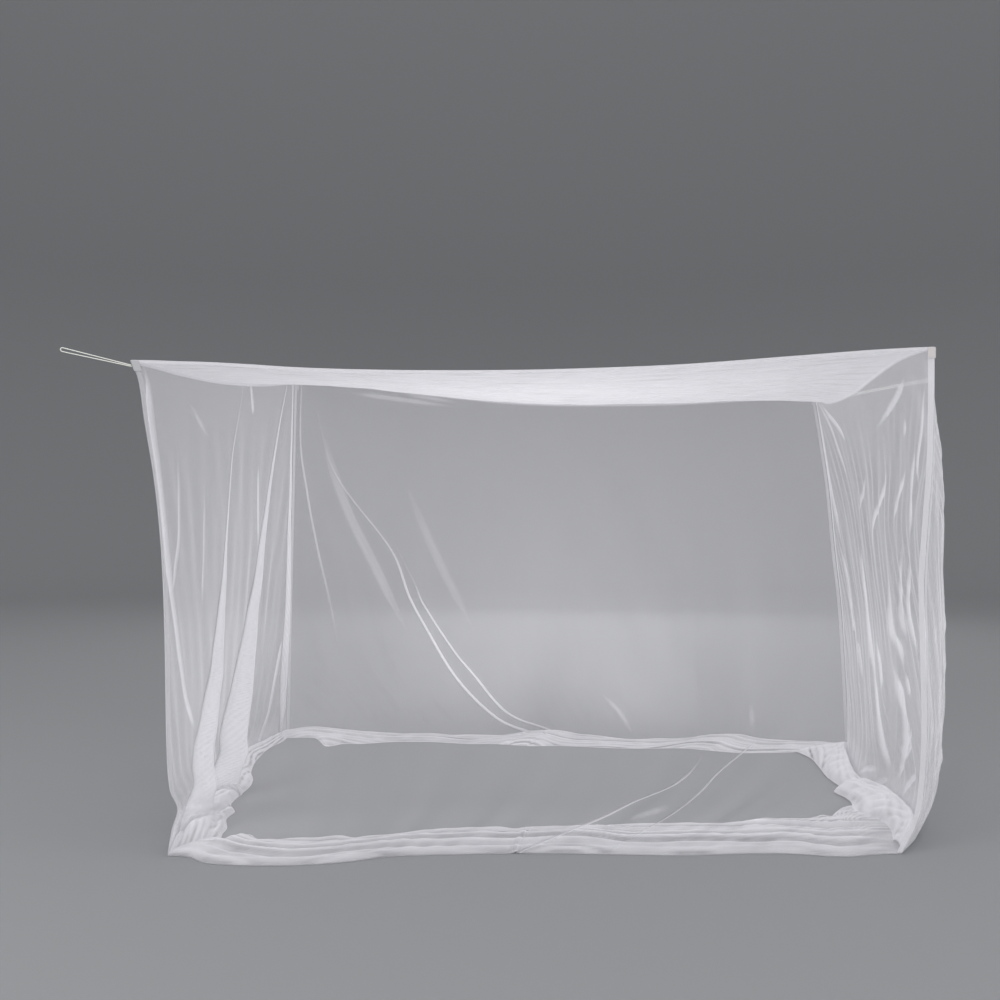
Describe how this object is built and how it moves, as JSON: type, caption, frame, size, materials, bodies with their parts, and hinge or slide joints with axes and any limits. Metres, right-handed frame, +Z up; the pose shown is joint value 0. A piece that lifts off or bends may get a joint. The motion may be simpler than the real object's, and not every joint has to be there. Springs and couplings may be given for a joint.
{
  "type": "mosquito net canopy",
  "caption": "Box-shaped mosquito net of sheer white netting, hung by ties from its top corners, its walls falling to the ground and turned in there as a gathered hem.",
  "frame": {"origin": "on the ground, in the middle of the net's outline seen from above, without its ties", "axes": "+Z up, +X along the front wall to the right as the picture shows it, +Y from the front wall to the back wall"},
  "size_m": [2.7689, 1.7912, 1.3857],
  "materials": {
    "netting": "sheer white knitted polyester netting, matte",
    "patch_tape": "white woven tape, matte",
    "tie_cord": "thin twisted cord, matte"
  },
  "bodies": {
    "root": {"roof": "netting", "wall_front": "netting", "wall_right": "netting", "wall_back": "netting", "wall_left": "netting", "patch_front_left": "patch_tape", "patch_front_right": "patch_tape", "patch_back_right": "patch_tape", "patch_back_left": "patch_tape", "tie_front_left": "tie_cord", "tie_back_right": "tie_cord"}
  },
  "joints": []
}
